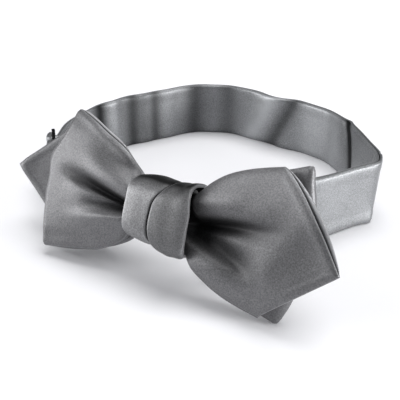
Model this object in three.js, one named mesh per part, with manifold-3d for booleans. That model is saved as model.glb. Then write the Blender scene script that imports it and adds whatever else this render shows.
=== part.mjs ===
// Diamond point bow tie: a pointed satin strip folded in three layers, gathered under a wound knot,
// on a neck band that stands on its lower edge and closes with a metal clasp behind the left wing.
// Millimetres, +Z up. The bow lies along X and faces -Y, and the neck loop lies behind it in +Y.
import * as THREE from 'three';
import { mergeVertices } from 'three/addons/utils/BufferGeometryUtils.js';
import Module from 'manifold-3d';

// Satin strip of the bow
const STRIP_WIDTH = 49.2;
const FOLD_REACH = 44;
const FOLD_BULGE = 6.6;
const SHOULDER_REACH = 42.3;
const POINT_LENGTH = 23.6;
const STRIP_SLIP = 2.6;
const CLOTH = 1.8;
const LAYER_STEP = 3.6;
const PUFF = 4;
const LEAN = 25.3;
const TWIST = 3.8;

// Knot
const KNOT_WIDTH = 24.4;
const KNOT_WALL = 1.9;
const KNOT_DROP = 1.3;
const OVERLAP_STEP = 1.3;
const KNOT_EASE = 0.8;
const LIP_FLARE = 0.8;
const LIP_START = 0.6;
const EDGE_ROLL = 0.7;
const ROLL_POWER = 6;
const KNOT_POWER = 0.55;
const UNDER_TURN = 0.98;

// Neck band
const BAND_WIDTH = 25;
const BAND_THICKNESS = 1.8;
const LOOP_WIDTH = 132;
const LOOP_DEPTH = 121;
const TAIL_LENGTH = 3;

// Clasp
const CLASP_BAR = 1.4;
const CLASP_PLATE = 1.3;
const CLASP_OPENING = 22;
const CLASP_NIB = 2.2;
const CLASP_TURN = 45;

// Gap kept between pieces that touch
const GAP = 0.3;

// How far a folded end bulges past the line between its corners, across the strip's width
const LEFT_FOLD_END = [
  { across: -1, out: 0 },
  { across: -0.5, out: 0.43 },
  { across: -0.25, out: 0.66 },
  { across: 0, out: 0.8 },
  { across: 0.27, out: 1 },
  { across: 0.6, out: 0.78 },
  { across: 0.8, out: 0.44 },
  { across: 1, out: 0 },
];
const RIGHT_FOLD_END = [
  { across: -1, out: 0 },
  { across: -0.67, out: 0.45 },
  { across: 0, out: 0.75 },
  { across: 0.52, out: 0.58 },
  { across: 0.8, out: 0.28 },
  { across: 1, out: 0 },
];

// Each layer on each wing, from the knot's middle to the wing's end. Along is the share of the way,
// top and bottom are shares of half the strip's width, edge is the depth in front of the bow's
// middle plane in LAYER_STEP, and crown is how far the layer's middle stands proud, in PUFF
const RIGHT_FRONT = [
  { along: 0, top: 0.31, bottom: 0.35, edge: 0.6, crown: 0.8 },
  { along: 0.24, top: 0.33, bottom: 0.37, edge: 0.6, crown: 0.8 },
  { along: 0.31, top: 0.37, bottom: 0.42, edge: 0.6, crown: 0.85 },
  { along: 0.4, top: 0.53, bottom: 0.58, edge: 0.6, crown: 0.95 },
  { along: 0.52, top: 0.67, bottom: 0.7, edge: 0.6, crown: 1 },
  { along: 0.68, top: 0.78, bottom: 0.8, edge: 0.7, crown: 0.9 },
  { along: 0.85, top: 0.86, bottom: 0.87, edge: 0.85, crown: 0.65 },
  { along: 1, top: 0.915, bottom: 0.91, edge: 1.05, crown: 0.4 },
];
const RIGHT_MIDDLE = [
  { along: 0, top: 0.31, bottom: 0.35, edge: 0, crown: 0.35 },
  { along: 0.22, top: 0.33, bottom: 0.37, edge: 0, crown: 0.35 },
  { along: 0.29, top: 0.37, bottom: 0.42, edge: -0.05, crown: 0.35 },
  { along: 0.37, top: 0.51, bottom: 0.57, edge: -0.15, crown: 0.32 },
  { along: 0.5, top: 0.65, bottom: 0.7, edge: -0.3, crown: 0.25 },
  { along: 0.65, top: 0.75, bottom: 0.8, edge: -0.38, crown: 0.2 },
  { along: 0.8, top: 0.85, bottom: 0.88, edge: -0.43, crown: 0.1 },
  { along: 1, top: 0.985, bottom: 0.97, edge: -0.45, crown: 0 },
];
const RIGHT_BACK = [
  { along: 0, top: 0.31, bottom: 0.35, edge: -0.6, crown: -0.2 },
  { along: 0.22, top: 0.33, bottom: 0.37, edge: -0.62, crown: -0.2 },
  { along: 0.29, top: 0.37, bottom: 0.42, edge: -0.7, crown: -0.22 },
  { along: 0.37, top: 0.51, bottom: 0.57, edge: -0.85, crown: -0.28 },
  { along: 0.5, top: 0.65, bottom: 0.7, edge: -1.2, crown: -0.4 },
  { along: 0.65, top: 0.75, bottom: 0.8, edge: -1.25, crown: -0.35 },
  { along: 0.8, top: 0.85, bottom: 0.88, edge: -1.28, crown: -0.2 },
  { along: 1, top: 0.985, bottom: 0.97, edge: -1.3, crown: 0 },
];
const LEFT_FRONT = [
  { along: 0, top: 0.31, bottom: 0.35, edge: 0.6, crown: 0.8 },
  { along: 0.24, top: 0.33, bottom: 0.36, edge: 0.6, crown: 0.8 },
  { along: 0.3, top: 0.44, bottom: 0.53, edge: 0.62, crown: 0.8 },
  { along: 0.45, top: 0.635, bottom: 0.73, edge: 0.7, crown: 0.85 },
  { along: 0.66, top: 0.78, bottom: 0.85, edge: 0.75, crown: 0.8 },
  { along: 0.84, top: 0.91, bottom: 0.93, edge: 0.85, crown: 0.55 },
  { along: 1, top: 1, bottom: 1, edge: 0.95, crown: 0.3 },
];
const LEFT_MIDDLE = [
  { along: 0, top: 0.31, bottom: 0.35, edge: 0, crown: 0.35 },
  { along: 0.24, top: 0.33, bottom: 0.36, edge: 0, crown: 0.35 },
  { along: 0.31, top: 0.42, bottom: 0.52, edge: 0, crown: 0.3 },
  { along: 0.45, top: 0.57, bottom: 0.7, edge: -0.05, crown: 0.18 },
  { along: 0.66, top: 0.72, bottom: 0.83, edge: -0.05, crown: 0.18 },
  { along: 0.85, top: 0.86, bottom: 0.92, edge: 0, crown: 0.1 },
  { along: 1, top: 1, bottom: 1, edge: 0.1, crown: 0 },
];
const LEFT_BACK = [
  { along: 0, top: 0.31, bottom: 0.35, edge: -0.6, crown: -0.2 },
  { along: 0.22, top: 0.33, bottom: 0.36, edge: -0.65, crown: -0.2 },
  { along: 0.36, top: 0.41, bottom: 0.55, edge: -0.85, crown: -0.1 },
  { along: 0.55, top: 0.61, bottom: 0.72, edge: -1.15, crown: 0 },
  { along: 0.75, top: 0.77, bottom: 0.84, edge: -1.05, crown: 0 },
  { along: 0.9, top: 0.89, bottom: 0.92, edge: -0.6, crown: 0 },
  { along: 1, top: 0.98, bottom: 0.96, edge: -0.1, crown: 0 },
];

// Pleats that run out from the knot: from and to are shares of FOLD_REACH along the bow, and up and
// toUp are the heights at these ends as shares of half the strip's width; depth, width and the far
// end's spread are in LAYER_STEP, fade is how fast the depth dies out, and a negative depth is a ridge
const RIGHT_PLEATS = [
  { from: 0.25, up: -0.11, to: 1.02, toUp: 0.2, depth: 1.2, fade: 1.2, width: 0.42, spread: 1.2 },
  { from: 0.28, up: -0.22, to: 0.84, toUp: -0.38, depth: 0.6, fade: 0.8, width: 0.45, spread: 1.1 },
  { from: 0.3, up: -0.3, to: 0.75, toUp: -0.56, depth: -0.4, fade: 0.9, width: 0.5, spread: 0.9 },
  { from: 0.28, up: 0.2, to: 0.95, toUp: 0.6, depth: -0.35, fade: 1, width: 0.6, spread: 1.4 },
];
const LEFT_PLEATS = [
  { from: 0.28, up: -0.1, to: 0.66, toUp: -0.22, depth: 0.7, fade: 1.2, width: 0.4, spread: 0.6 },
  { from: 0.26, up: -0.04, to: 1.05, toUp: 0.17, depth: 1.05, fade: 0.9, width: 0.42, spread: 1.3 },
  { from: 0.32, up: 0.12, to: 0.95, toUp: 0.5, depth: -0.4, fade: 0.8, width: 0.5, spread: 1.2 },
  { from: 0.3, up: -0.22, to: 0.95, toUp: -0.5, depth: -0.3, fade: 0.8, width: 0.5, spread: 1 },
];

// Pleats deepen from PLEAT_START to PLEAT_FULL along the bow and fade before a fold from PLEAT_END
const PLEAT_START = 0.08;
const PLEAT_FULL = 0.3;
const PLEAT_END = 0.85;

// Layers in the order of the strip, from the right tip to the left tip
const LAYERS = {
  front: { right: RIGHT_FRONT, left: LEFT_FRONT, pleats: 1, rightPoint: true, leftPoint: false },
  middle: { right: RIGHT_MIDDLE, left: LEFT_MIDDLE, pleats: 0.55, rightPoint: false, leftPoint: false },
  back: { right: RIGHT_BACK, left: LEFT_BACK, pleats: 0, rightPoint: false, leftPoint: true },
};

// The two pointed ends: above and below shift their shoulders, lift and drop move the tip, all in
// POINT_LENGTH, and round under 1 makes the upper edge bulge
const RIGHT_TIP = { above: -0.06, below: 0.03, lift: 0.07, drop: 0.1, round: 0.74 };
const LEFT_TIP = { above: 0.07, below: -0.29, lift: 0, drop: 0.01, round: 1 };

// Knot's two edges and the line of its overlap by the angle round the bow, with 0 in front and 90 on
// top, as shares of KNOT_WIDTH; flare is the share of LIP_FLARE by which the right edge stands open
const KNOT_TURN = [
  { angle: -90, left: -0.3, right: 0.38, line: 0.2, flare: 0 },
  { angle: -60, left: -0.38, right: 0.47, line: 0.2, flare: 0 },
  { angle: -35, left: -0.44, right: 0.5, line: 0.12, flare: 0 },
  { angle: 0, left: -0.475, right: 0.49, line: 0.03, flare: 0 },
  { angle: 35, left: -0.5, right: 0.46, line: 0.11, flare: 0.1 },
  { angle: 60, left: -0.46, right: 0.45, line: 0.15, flare: 0.7 },
  { angle: 90, left: -0.42, right: 0.42, line: 0.14, flare: 1 },
  { angle: 135, left: -0.36, right: 0.38, line: 0.1, flare: 0.2 },
  { angle: 180, left: -0.34, right: 0.38, line: 0.1, flare: 0 },
  { angle: 225, left: -0.32, right: 0.38, line: 0.12, flare: 0 },
  { angle: 270, left: -0.3, right: 0.38, line: 0.2, flare: 0 },
];

// Rows of the neck band from the clasp's front bar, through the knot and round to its rear bar.
// Across is a share of LOOP_WIDTH and behind one of LOOP_DEPTH, both from the knot's middle; lift,
// rake and height are shares of BAND_WIDTH, and lean is in degrees away from the upright
const BAND_ROWS = [
  { across: -0.527, behind: 0.107, lift: 0.08, lean: -4, rake: 0, height: 0.9 },
  { across: -0.45, behind: 0.042, lift: 0.09, lean: -10, rake: 0, height: 0.94 },
  { across: -0.33, behind: 0.02, lift: 0.18, lean: -16, rake: 0, height: 0.94 },
  { across: -0.17, behind: 0.018, lift: 0.38, lean: -22, rake: 0, height: 0.84 },
  { across: -0.065, behind: 0, lift: 0.6, lean: -25.3, rake: 0, height: 0.52 },
  { across: 0.07, behind: 0, lift: 0.6, lean: -25.3, rake: 0, height: 0.52 },
  { across: 0.125, behind: 0.033, lift: 0.42, lean: -22, rake: 0, height: 0.78 },
  { across: 0.178, behind: 0.11, lift: 0.24, lean: -14, rake: 0, height: 0.92 },
  { across: 0.216, behind: 0.25, lift: 0.11, lean: -5, rake: 0, height: 1 },
  { across: 0.25, behind: 0.38, lift: 0.02, lean: 0, rake: 0, height: 1 },
  { across: 0.293, behind: 0.5, lift: 0, lean: 0, rake: 0.05, height: 1 },
  { across: 0.324, behind: 0.575, lift: 0, lean: 0, rake: 0.26, height: 1 },
  { across: 0.316, behind: 0.61, lift: 0, lean: 7, rake: 0.26, height: 1 },
  { across: 0.292, behind: 0.64, lift: 0, lean: 14, rake: 0.15, height: 1 },
  { across: 0.24, behind: 0.71, lift: 0, lean: 11, rake: 0.08, height: 1 },
  { across: 0.133, behind: 0.855, lift: 0, lean: 3, rake: 0, height: 1 },
  { across: 0.03, behind: 0.942, lift: 0, lean: 0, rake: 0, height: 1 },
  { across: -0.062, behind: 0.975, lift: 0, lean: 0, rake: 0, height: 1 },
  { across: -0.18, behind: 0.972, lift: 0, lean: 0, rake: 0, height: 1 },
  { across: -0.3, behind: 1, lift: 0, lean: 0, rake: 0, height: 1 },
  { across: -0.4, behind: 0.995, lift: 0, lean: 0, rake: 0, height: 1 },
  { across: -0.5, behind: 0.945, lift: 0, lean: 0, rake: 0, height: 1 },
  { across: -0.556, behind: 0.862, lift: 0, lean: 0, rake: 0, height: 1 },
  { across: -0.6, behind: 0.745, lift: 0, lean: 0, rake: 0, height: 1 },
  { across: -0.645, behind: 0.635, lift: 0, lean: 0, rake: 0, height: 1 },
  { across: -0.66, behind: 0.52, lift: 0, lean: 0, rake: 0, height: 1 },
  { across: -0.655, behind: 0.41, lift: 0.03, lean: 0, rake: 0, height: 0.96 },
  { across: -0.64, behind: 0.31, lift: 0.065, lean: 0, rake: 0, height: 0.9 },
];
const CLASP_PLACE = { across: -0.598, behind: 0.197 };

// Soft ripples of the band by the distance along its rows, as row numbers: out is outwards, as a
// share of BAND_WIDTH
const BAND_RIPPLES = [
  { row: 15.15, out: 0.052, reach: 0.1 },
  { row: 17.6, out: -0.028, reach: 0.35 },
  { row: 19.7, out: 0.024, reach: 0.3 },
  { row: 20.5, out: -0.028, reach: 0.3 },
  { row: 21.4, out: 0.032, reach: 0.25 },
  { row: 22.2, out: -0.032, reach: 0.28 },
  { row: 23, out: 0.036, reach: 0.3 },
  { row: 23.8, out: -0.024, reach: 0.25 },
];

// Fineness of the meshes
const ACROSS_CELLS = 14;
const ALONG_STOPS = [1, 0.9, 0.79, 0.68, 0.58, 0.49, 0.41, 0.34, 0.28, 0.2, 0.1];
const FOLD_STEPS = 4;
const KNOT_STEPS = 32;
const BAND_STEPS = 4;
const BAND_CELLS = 2;

const radians = THREE.MathUtils.degToRad;
const smooth = THREE.MathUtils.smoothstep;

// Value of a table's column between its rows, on a smooth curve through them
function sample(table, key, at, column) {
  const last = table.length - 1;
  let i = 0;
  while (i < last - 1 && at > table[i + 1][key]) {
    i += 1;
  }
  const slope = (a, b) => (table[b][column] - table[a][column]) / (table[b][key] - table[a][key]);
  const step = table[i + 1][key] - table[i][key];
  const t = THREE.MathUtils.clamp((at - table[i][key]) / step, 0, 1);
  const before = i > 0 ? slope(i - 1, i + 1) : slope(i, i + 1);
  const after = i + 2 <= last ? slope(i, i + 2) : slope(i, i + 1);
  const tt = t * t;
  const ttt = tt * t;
  return table[i][column] * (2 * ttt - 3 * tt + 1) + before * step * (ttt - 2 * tt + t)
    + table[i + 1][column] * (3 * tt - 2 * ttt) + after * step * (ttt - tt);
}

// Closed solid from rows of point pairs, one on each face of the cloth; ringed rows join their ends
function clothSolid(rows, ringed = false) {
  const columns = rows[0].length;
  const points = rows.flatMap((row) => row.flatMap((pair) => pair));
  const at = (i, j, face) => (i * columns + (j % columns)) * 2 + face;
  const faces = [];
  const quad = (a, b, c, d) => faces.push(a, b, c, a, c, d);
  const cells = ringed ? columns : columns - 1;
  for (let i = 0; i < rows.length - 1; i += 1) {
    for (let j = 0; j < cells; j += 1) {
      quad(at(i, j, 0), at(i + 1, j, 0), at(i + 1, j + 1, 0), at(i, j + 1, 0));
      quad(at(i, j, 1), at(i, j + 1, 1), at(i + 1, j + 1, 1), at(i + 1, j, 1));
    }
  }
  for (let j = 0; j < cells; j += 1) {
    const end = rows.length - 1;
    quad(at(0, j, 0), at(0, j + 1, 0), at(0, j + 1, 1), at(0, j, 1));
    quad(at(end, j, 0), at(end, j, 1), at(end, j + 1, 1), at(end, j + 1, 0));
  }
  for (let i = 0; i < rows.length - 1 && !ringed; i += 1) {
    quad(at(i, 0, 0), at(i, 0, 1), at(i + 1, 0, 1), at(i + 1, 0, 0));
    quad(at(i, cells, 0), at(i + 1, cells, 0), at(i + 1, cells, 1), at(i, cells, 1));
  }
  let volume = 0;
  for (let k = 0; k < faces.length; k += 3) {
    const [a, b, c] = [points[faces[k]], points[faces[k + 1]], points[faces[k + 2]]];
    volume += a.dot(b.clone().cross(c));
  }
  const geometry = new THREE.BufferGeometry().setFromPoints(points);
  geometry.setIndex(volume > 0 ? faces : faces.reverse());
  return geometry;
}

// Point of the leaning, slightly twisted bow: along it, up its face and out in front of it
function bowPoint(along, up, out) {
  const lean = radians(LEAN - (TWIST * along) / FOLD_REACH);
  const y = up * Math.sin(lean) - out * Math.cos(lean);
  const z = up * Math.cos(lean) + out * Math.sin(lean);
  return new THREE.Vector3(along, y, z);
}

// Depth of the pleats of one wing at a place on it
function pleatDepth(pleats, along, up) {
  let depth = 0;
  for (const pleat of pleats) {
    const start = new THREE.Vector2(pleat.from * FOLD_REACH, (pleat.up * STRIP_WIDTH) / 2);
    const end = new THREE.Vector2(pleat.to * FOLD_REACH, (pleat.toUp * STRIP_WIDTH) / 2);
    const run = end.clone().sub(start);
    const offset = new THREE.Vector2(along, up).sub(start);
    const t = THREE.MathUtils.clamp(offset.dot(run) / run.lengthSq(), 0, 1);
    const distance = offset.sub(run.multiplyScalar(t)).y;
    const width = (pleat.width + (pleat.spread - pleat.width) * t) * LAYER_STEP;
    depth += pleat.depth * LAYER_STEP * (1 - t) ** pleat.fade * Math.exp(-((distance / width) ** 2));
  }
  return depth * smooth(along, PLEAT_START * FOLD_REACH, PLEAT_FULL * FOLD_REACH);
}

// How far a layer reaches from the knot's middle, at a place across it
function layerReach(pointed, side, across) {
  const right = side > 0;
  if (!pointed) {
    const bulge = sample(right ? RIGHT_FOLD_END : LEFT_FOLD_END, 'across', across, 'out');
    return FOLD_REACH + FOLD_BULGE * bulge - foldRadius(side);
  }
  const tip = right ? RIGHT_TIP : LEFT_TIP;
  const shift = across > 0 ? tip.above : tip.below;
  const point = (1 - Math.abs(across)) ** (across > 0 ? tip.round : 1);
  return SHOULDER_REACH - side * STRIP_SLIP + POINT_LENGTH * (point + shift * Math.abs(across));
}

// Place in a layer, from the knot's middle at 0 to the wing's end at 1, and across from -1 to 1
function layerPoint(layer, side, along, across) {
  const right = side > 0;
  const shape = right ? layer.right : layer.left;
  const pointed = right ? layer.rightPoint : layer.leftPoint;
  const tip = right ? RIGHT_TIP : LEFT_TIP;
  const corner = sample(shape, 'along', along, across > 0 ? 'top' : 'bottom');
  const middle = 1 - Math.abs(across);
  const u = along * layerReach(pointed, side, across);
  const drop = pointed ? tip.drop * POINT_LENGTH * along ** 2 * middle : 0;
  const up = (corner * across * STRIP_WIDTH) / 2 - KNOT_DROP * (1 - along) - drop;
  const edge = sample(shape, 'along', along, 'edge') * LAYER_STEP;
  const crown = sample(shape, 'along', along, 'crown') * PUFF * (1 - across * across);
  const lift = pointed ? tip.lift * POINT_LENGTH * along ** 3 * middle : 0;
  const fade = pointed ? 1 : 1 - smooth(along, PLEAT_END, 1);
  const pleats = layer.pleats * fade * pleatDepth(right ? RIGHT_PLEATS : LEFT_PLEATS, u, up);
  return { along: side * u, up, out: edge + crown + lift - pleats };
}

// Half the distance between the two layers that meet in a wing's fold
function foldRadius(side) {
  const [near, far] = side > 0 ? [RIGHT_MIDDLE, RIGHT_BACK] : [LEFT_FRONT, LEFT_MIDDLE];
  return ((near[near.length - 1].edge - far[far.length - 1].edge) * LAYER_STEP) / 2;
}

// The two face points of the cloth at a place, whose face looks towards (turnAlong, turnOut)
function clothPair(place, turnAlong, turnOut) {
  const half = CLOTH / 2;
  return [1, -1].map((face) => bowPoint(
    place.along + face * half * turnAlong,
    place.up,
    place.out + face * half * turnOut,
  ));
}

function acrossStops() {
  return Array.from({ length: ACROSS_CELLS + 1 }, (_, j) => (2 * j) / ACROSS_CELLS - 1);
}

// Rows of one layer from one wing's end to the other's, its front face looking forwards or back
function layerRows(layer, fromSide, facing) {
  const row = (side, along) => acrossStops().map((across) => {
    const place = layerPoint(layer, side, along, across);
    return clothPair(place, 0, facing);
  });
  const leaving = ALONG_STOPS.map((along) => row(fromSide, along));
  const middle = [row(fromSide, 0)];
  const arriving = [...ALONG_STOPS].reverse().map((along) => row(-fromSide, along));
  return [...leaving, ...middle, ...arriving];
}

// Rows of the rounded fold between two layers at one wing's end
function foldRows(fromLayer, toLayer, side, facing) {
  const rows = [];
  for (let k = 1; k < FOLD_STEPS; k += 1) {
    const turn = (Math.PI * k) / FOLD_STEPS;
    rows.push(acrossStops().map((across) => {
      const from = layerPoint(fromLayer, side, 1, across);
      const to = layerPoint(toLayer, side, 1, across);
      const radius = Math.abs(from.out - to.out) / 2;
      const place = {
        along: from.along + side * radius * Math.sin(turn),
        up: from.up,
        out: (from.out + to.out) / 2 + ((from.out - to.out) / 2) * Math.cos(turn),
      };
      return clothPair(place, facing * side * Math.sin(turn), facing * Math.cos(turn));
    }));
  }
  return rows;
}

function bladeGeometry() {
  const { front, middle, back } = LAYERS;
  return clothSolid([
    ...layerRows(front, 1, 1),
    ...foldRows(front, middle, -1, 1),
    ...layerRows(middle, -1, -1),
    ...foldRows(middle, back, 1, -1),
    ...layerRows(back, 1, 1),
  ]);
}

// Depths of the knot: the blade's three layers in front and the neck band behind them
const BLADE_FRONT = RIGHT_FRONT[0].edge * LAYER_STEP + RIGHT_FRONT[0].crown * PUFF + CLOTH / 2;
const BLADE_REAR = CLOTH / 2 - RIGHT_BACK[0].edge * LAYER_STEP - RIGHT_BACK[0].crown * PUFF;
const BAND_OUT = -(BLADE_REAR + KNOT_EASE + BAND_THICKNESS / 2);
const KNOT_FRONT = BLADE_FRONT + KNOT_EASE + KNOT_WALL;
const KNOT_REAR = -BAND_OUT + BAND_THICKNESS / 2 + KNOT_EASE + KNOT_WALL;
const KNOT_HALF = (RIGHT_FRONT[0].bottom * STRIP_WIDTH) / 2 + KNOT_EASE + KNOT_WALL;

// Point of the knot: angle round the bow, and the place between its two edges from 0 to 1
function knotPair(angle, place, raised) {
  const turn = (column) => sample(KNOT_TURN, 'angle', angle, column) * KNOT_WIDTH;
  const left = turn('left');
  const line = turn('line');
  const right = turn('right');
  const along = place < 0.5 ? left + (line - left) * place * 2 : line + (right - line) * (place * 2 - 1);
  const edge = Math.abs(place * 2 - 1) ** ROLL_POWER;
  const flare = sample(KNOT_TURN, 'angle', angle, 'flare') * LIP_FLARE * smooth(place, LIP_START, 1);
  const inFront = (1 + Math.cos(radians(angle))) / 2;
  const step = raised ? OVERLAP_STEP * inFront : 0;
  const roll = EDGE_ROLL * edge;
  const ring = (grow) => {
    const round = (value) => Math.sign(value) * Math.abs(value) ** KNOT_POWER;
    const halfUp = KNOT_HALF + grow;
    const halfOut = (KNOT_FRONT + KNOT_REAR) / 2 + grow;
    const up = halfUp * round(Math.sin(radians(angle))) - KNOT_DROP;
    const out = halfOut * round(Math.cos(radians(angle))) + (KNOT_FRONT - KNOT_REAR) / 2;
    return bowPoint(along, up, out);
  };
  return [ring(step + flare - roll / 2), ring(flare + roll / 2 - KNOT_WALL)];
}

function knotGeometry() {
  const angles = Array.from({ length: KNOT_STEPS }, (_, k) => (360 * k) / KNOT_STEPS - 90);
  const wrap = [0, 0.12, 0.25, 0.38, 0.5];
  const rows = [
    ...wrap.map((place) => angles.map((angle) => knotPair(angle, place * UNDER_TURN, false))),
    ...wrap.map((place) => angles.map((angle) => knotPair(angle, 0.5 + place, true))),
  ];
  return clothSolid(rows, true);
}

// Height of the bow's middle above the surface, so that its lowest corner rests there
function bowRest() {
  const blade = bladeGeometry();
  blade.computeBoundingBox();
  return -blade.boundingBox.min.z;
}

// Middle of the neck band where it passes through the knot
const BOW_REST = bowRest();
const BAND_PASS = bowPoint(0, -KNOT_DROP, BAND_OUT).add(new THREE.Vector3(0, 0, BOW_REST));

// The clasp's middle in plan and the direction from its front bar to its rear bar
const CLASP_MIDDLE = new THREE.Vector3(
  CLASP_PLACE.across * LOOP_WIDTH,
  BAND_PASS.y + CLASP_PLACE.behind * LOOP_DEPTH,
  0,
);
const CLASP_RUN = new THREE.Vector3(-Math.sin(radians(CLASP_TURN)), Math.cos(radians(CLASP_TURN)), 0);
const TURN_RADIUS = Math.hypot(CLASP_BAR, CLASP_PLATE) / 2 + GAP + BAND_THICKNESS / 2;
const CLASP_SLOT = TURN_RADIUS + BAND_THICKNESS / 2 + GAP - CLASP_BAR / 2;
const CLASP_LENGTH = 3 * CLASP_BAR + 2 * CLASP_SLOT;
const CLASP_HEIGHT = CLASP_OPENING + 2 * CLASP_BAR;
const SLOT_MARGIN = 2 * GAP;

// Route of the band's end round one of the clasp's outer bars, from its tail to its run. The tail
// lies outside the neck loop
function barTurn(direction) {
  const bar = CLASP_MIDDLE.clone().addScaledVector(CLASP_RUN, direction * (CLASP_LENGTH - CLASP_BAR) / 2);
  const away = CLASP_RUN.clone().multiplyScalar(direction);
  const inner = new THREE.Vector3(CLASP_RUN.y, -CLASP_RUN.x, 0);
  const closed = (BAND_THICKNESS + GAP) / 2;
  const at = (forward, aside) => bar.clone()
    .addScaledVector(away, forward)
    .addScaledVector(inner, -aside);
  const arc = [-90, -45, 0, 45, 90].map((turn) => at(
    -TURN_RADIUS * Math.cos(radians(turn)),
    -TURN_RADIUS * Math.sin(radians(turn)),
  ));
  return [at(TAIL_LENGTH, closed), ...arc];
}

// Rows of the whole neck band: its route at mid height and how each section stands
function bandSections() {
  const rows = BAND_ROWS.map((row) => ({
    place: new THREE.Vector3(row.across * LOOP_WIDTH, BAND_PASS.y + row.behind * LOOP_DEPTH, 0),
    lift: row.lift * BAND_WIDTH,
    lean: row.lean,
    rake: row.rake * BAND_WIDTH,
    height: row.height * BAND_WIDTH,
  }));
  const turned = (direction) => barTurn(direction).map((place) => ({
    place,
    lift: CLASP_BAR + SLOT_MARGIN / 2,
    lean: 0,
    rake: 0,
    height: CLASP_OPENING - SLOT_MARGIN,
  }));
  return [...turned(-1), ...rows, ...turned(1).reverse()];
}

function bandGeometry() {
  const sections = bandSections();
  const steps = (sections.length - 1) * BAND_STEPS;
  const route = new THREE.CatmullRomCurve3(sections.map((row) => row.place), false, 'centripetal');
  const shape = new THREE.CatmullRomCurve3(
    sections.map((row) => new THREE.Vector3(row.lift, row.lean, row.rake)), false, 'catmullrom', 0.5,
  );
  const heights = new THREE.CatmullRomCurve3(
    sections.map((row) => new THREE.Vector3(row.height, 0, 0)), false, 'catmullrom', 0.5,
  );
  const firstRow = (sections.length - BAND_ROWS.length) / 2;
  const rows = [];
  for (let k = 0; k <= steps; k += 1) {
    const t = k / steps;
    const tangent = route.getTangent(t);
    const outward = new THREE.Vector3(tangent.y, -tangent.x, 0);
    const [lift, lean, rake] = shape.getPoint(t).toArray();
    const height = heights.getPoint(t).x;
    const rowNumber = k / BAND_STEPS - firstRow;
    let ripple = 0;
    for (const { row, out, reach } of BAND_RIPPLES) {
      ripple += out * BAND_WIDTH * Math.exp(-(((rowNumber - row) / reach) ** 2));
    }
    const middle = route.getPoint(t).addScaledVector(outward, ripple);
    rows.push(Array.from({ length: BAND_CELLS + 1 }, (_, j) => {
      const share = j / BAND_CELLS - 0.5;
      const point = middle.clone()
        .addScaledVector(outward, share * height * Math.sin(radians(lean)))
        .addScaledVector(tangent, share * rake);
      point.z = Math.max(lift, 0) + (share + 0.5) * height * Math.cos(radians(lean));
      return [1, -1].map((face) => point.clone().addScaledVector(outward, (face * BAND_THICKNESS) / 2));
    }));
  }
  return clothSolid(rows);
}

const manifold = await Module();
manifold.setup();

// Solid of a closed geometry, for cutting
function solidOf(geometry) {
  const bare = geometry.clone();
  bare.deleteAttribute('normal');
  bare.deleteAttribute('uv');
  const merged = mergeVertices(bare);
  return new manifold.Manifold(new manifold.Mesh({
    numProp: 3,
    vertProperties: new Float32Array(merged.attributes.position.array),
    triVerts: new Uint32Array(merged.index.array),
  }));
}

// Flat metal clasp with three upright bars, standing in the run of the band, a nib on its middle bar
function claspGeometry() {
  const half = CLASP_LENGTH / 2;
  const outline = [
    [-half, 0], [half, 0], [half, CLASP_HEIGHT], [CLASP_BAR / 2, CLASP_HEIGHT],
    [0, CLASP_HEIGHT + CLASP_NIB], [-CLASP_BAR / 2, CLASP_HEIGHT], [-half, CLASP_HEIGHT],
  ];
  const shape = new THREE.Shape(outline.map(([x, y]) => new THREE.Vector2(x, y)));
  const plate = new THREE.ExtrudeGeometry(shape, { depth: CLASP_PLATE, bevelEnabled: false });
  plate.translate(0, 0, -CLASP_PLATE / 2);
  let solid = solidOf(plate);
  for (const side of [-1, 1]) {
    const slot = new THREE.BoxGeometry(CLASP_SLOT, CLASP_OPENING, CLASP_PLATE * 2);
    slot.translate((side * (CLASP_BAR + CLASP_SLOT)) / 2, CLASP_HEIGHT / 2, 0);
    solid = solid.subtract(solidOf(slot));
  }
  const cut = solid.getMesh();
  const geometry = new THREE.BufferGeometry();
  const positions = new Float32Array(cut.vertProperties);
  geometry.setAttribute('position', new THREE.BufferAttribute(positions, cut.numProp));
  geometry.setIndex([...cut.triVerts]);
  return geometry;
}

const satin = { roughness: 0.42, metalness: 0 };
const bowSatin = new THREE.MeshStandardMaterial({ color: 0x6b6c6e, ...satin });
const knotSatin = new THREE.MeshStandardMaterial({ color: 0x707173, ...satin });
const bandSatin = new THREE.MeshStandardMaterial({ color: 0x747678, ...satin });
const darkMetal = new THREE.MeshStandardMaterial({ color: 0x26282a, roughness: 0.35, metalness: 0.9 });

function piece(name, geometry, material) {
  const mesh = new THREE.Mesh(geometry, material);
  mesh.name = name;
  return mesh;
}

const bow = new THREE.Group();
bow.add(piece('bow_blade', bladeGeometry(), bowSatin));
bow.add(piece('knot_wrap', knotGeometry(), knotSatin));
bow.position.z = BOW_REST;

const clasp = piece('band_clasp', claspGeometry(), darkMetal);
clasp.position.copy(CLASP_MIDDLE);
clasp.rotation.set(Math.PI / 2, 0, Math.PI / 2 + radians(CLASP_TURN), 'ZYX');

const tie = new THREE.Group();
tie.add(bow);
tie.add(piece('neck_band', bandGeometry(), bandSatin));
tie.add(clasp);

// The origin is the middle of the underside of the whole tie
const box = new THREE.Box3().setFromObject(tie, true);
const centre = box.getCenter(new THREE.Vector3());
tie.position.set(-centre.x, -centre.y, -box.min.z);

const model = new THREE.Group();
model.add(tie);
export default model;
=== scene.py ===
"""Diamond point bow tie in dark satin, lying on a pale table.

The bow is one pointed strip folded in three layers and gathered under a knot of two turns. The neck
band stands on its lower edge behind it. Shapes are worked out in millimetres and stored in metres.
"""
import math

import bpy
import numpy as np
from mathutils import Matrix, Vector


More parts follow.
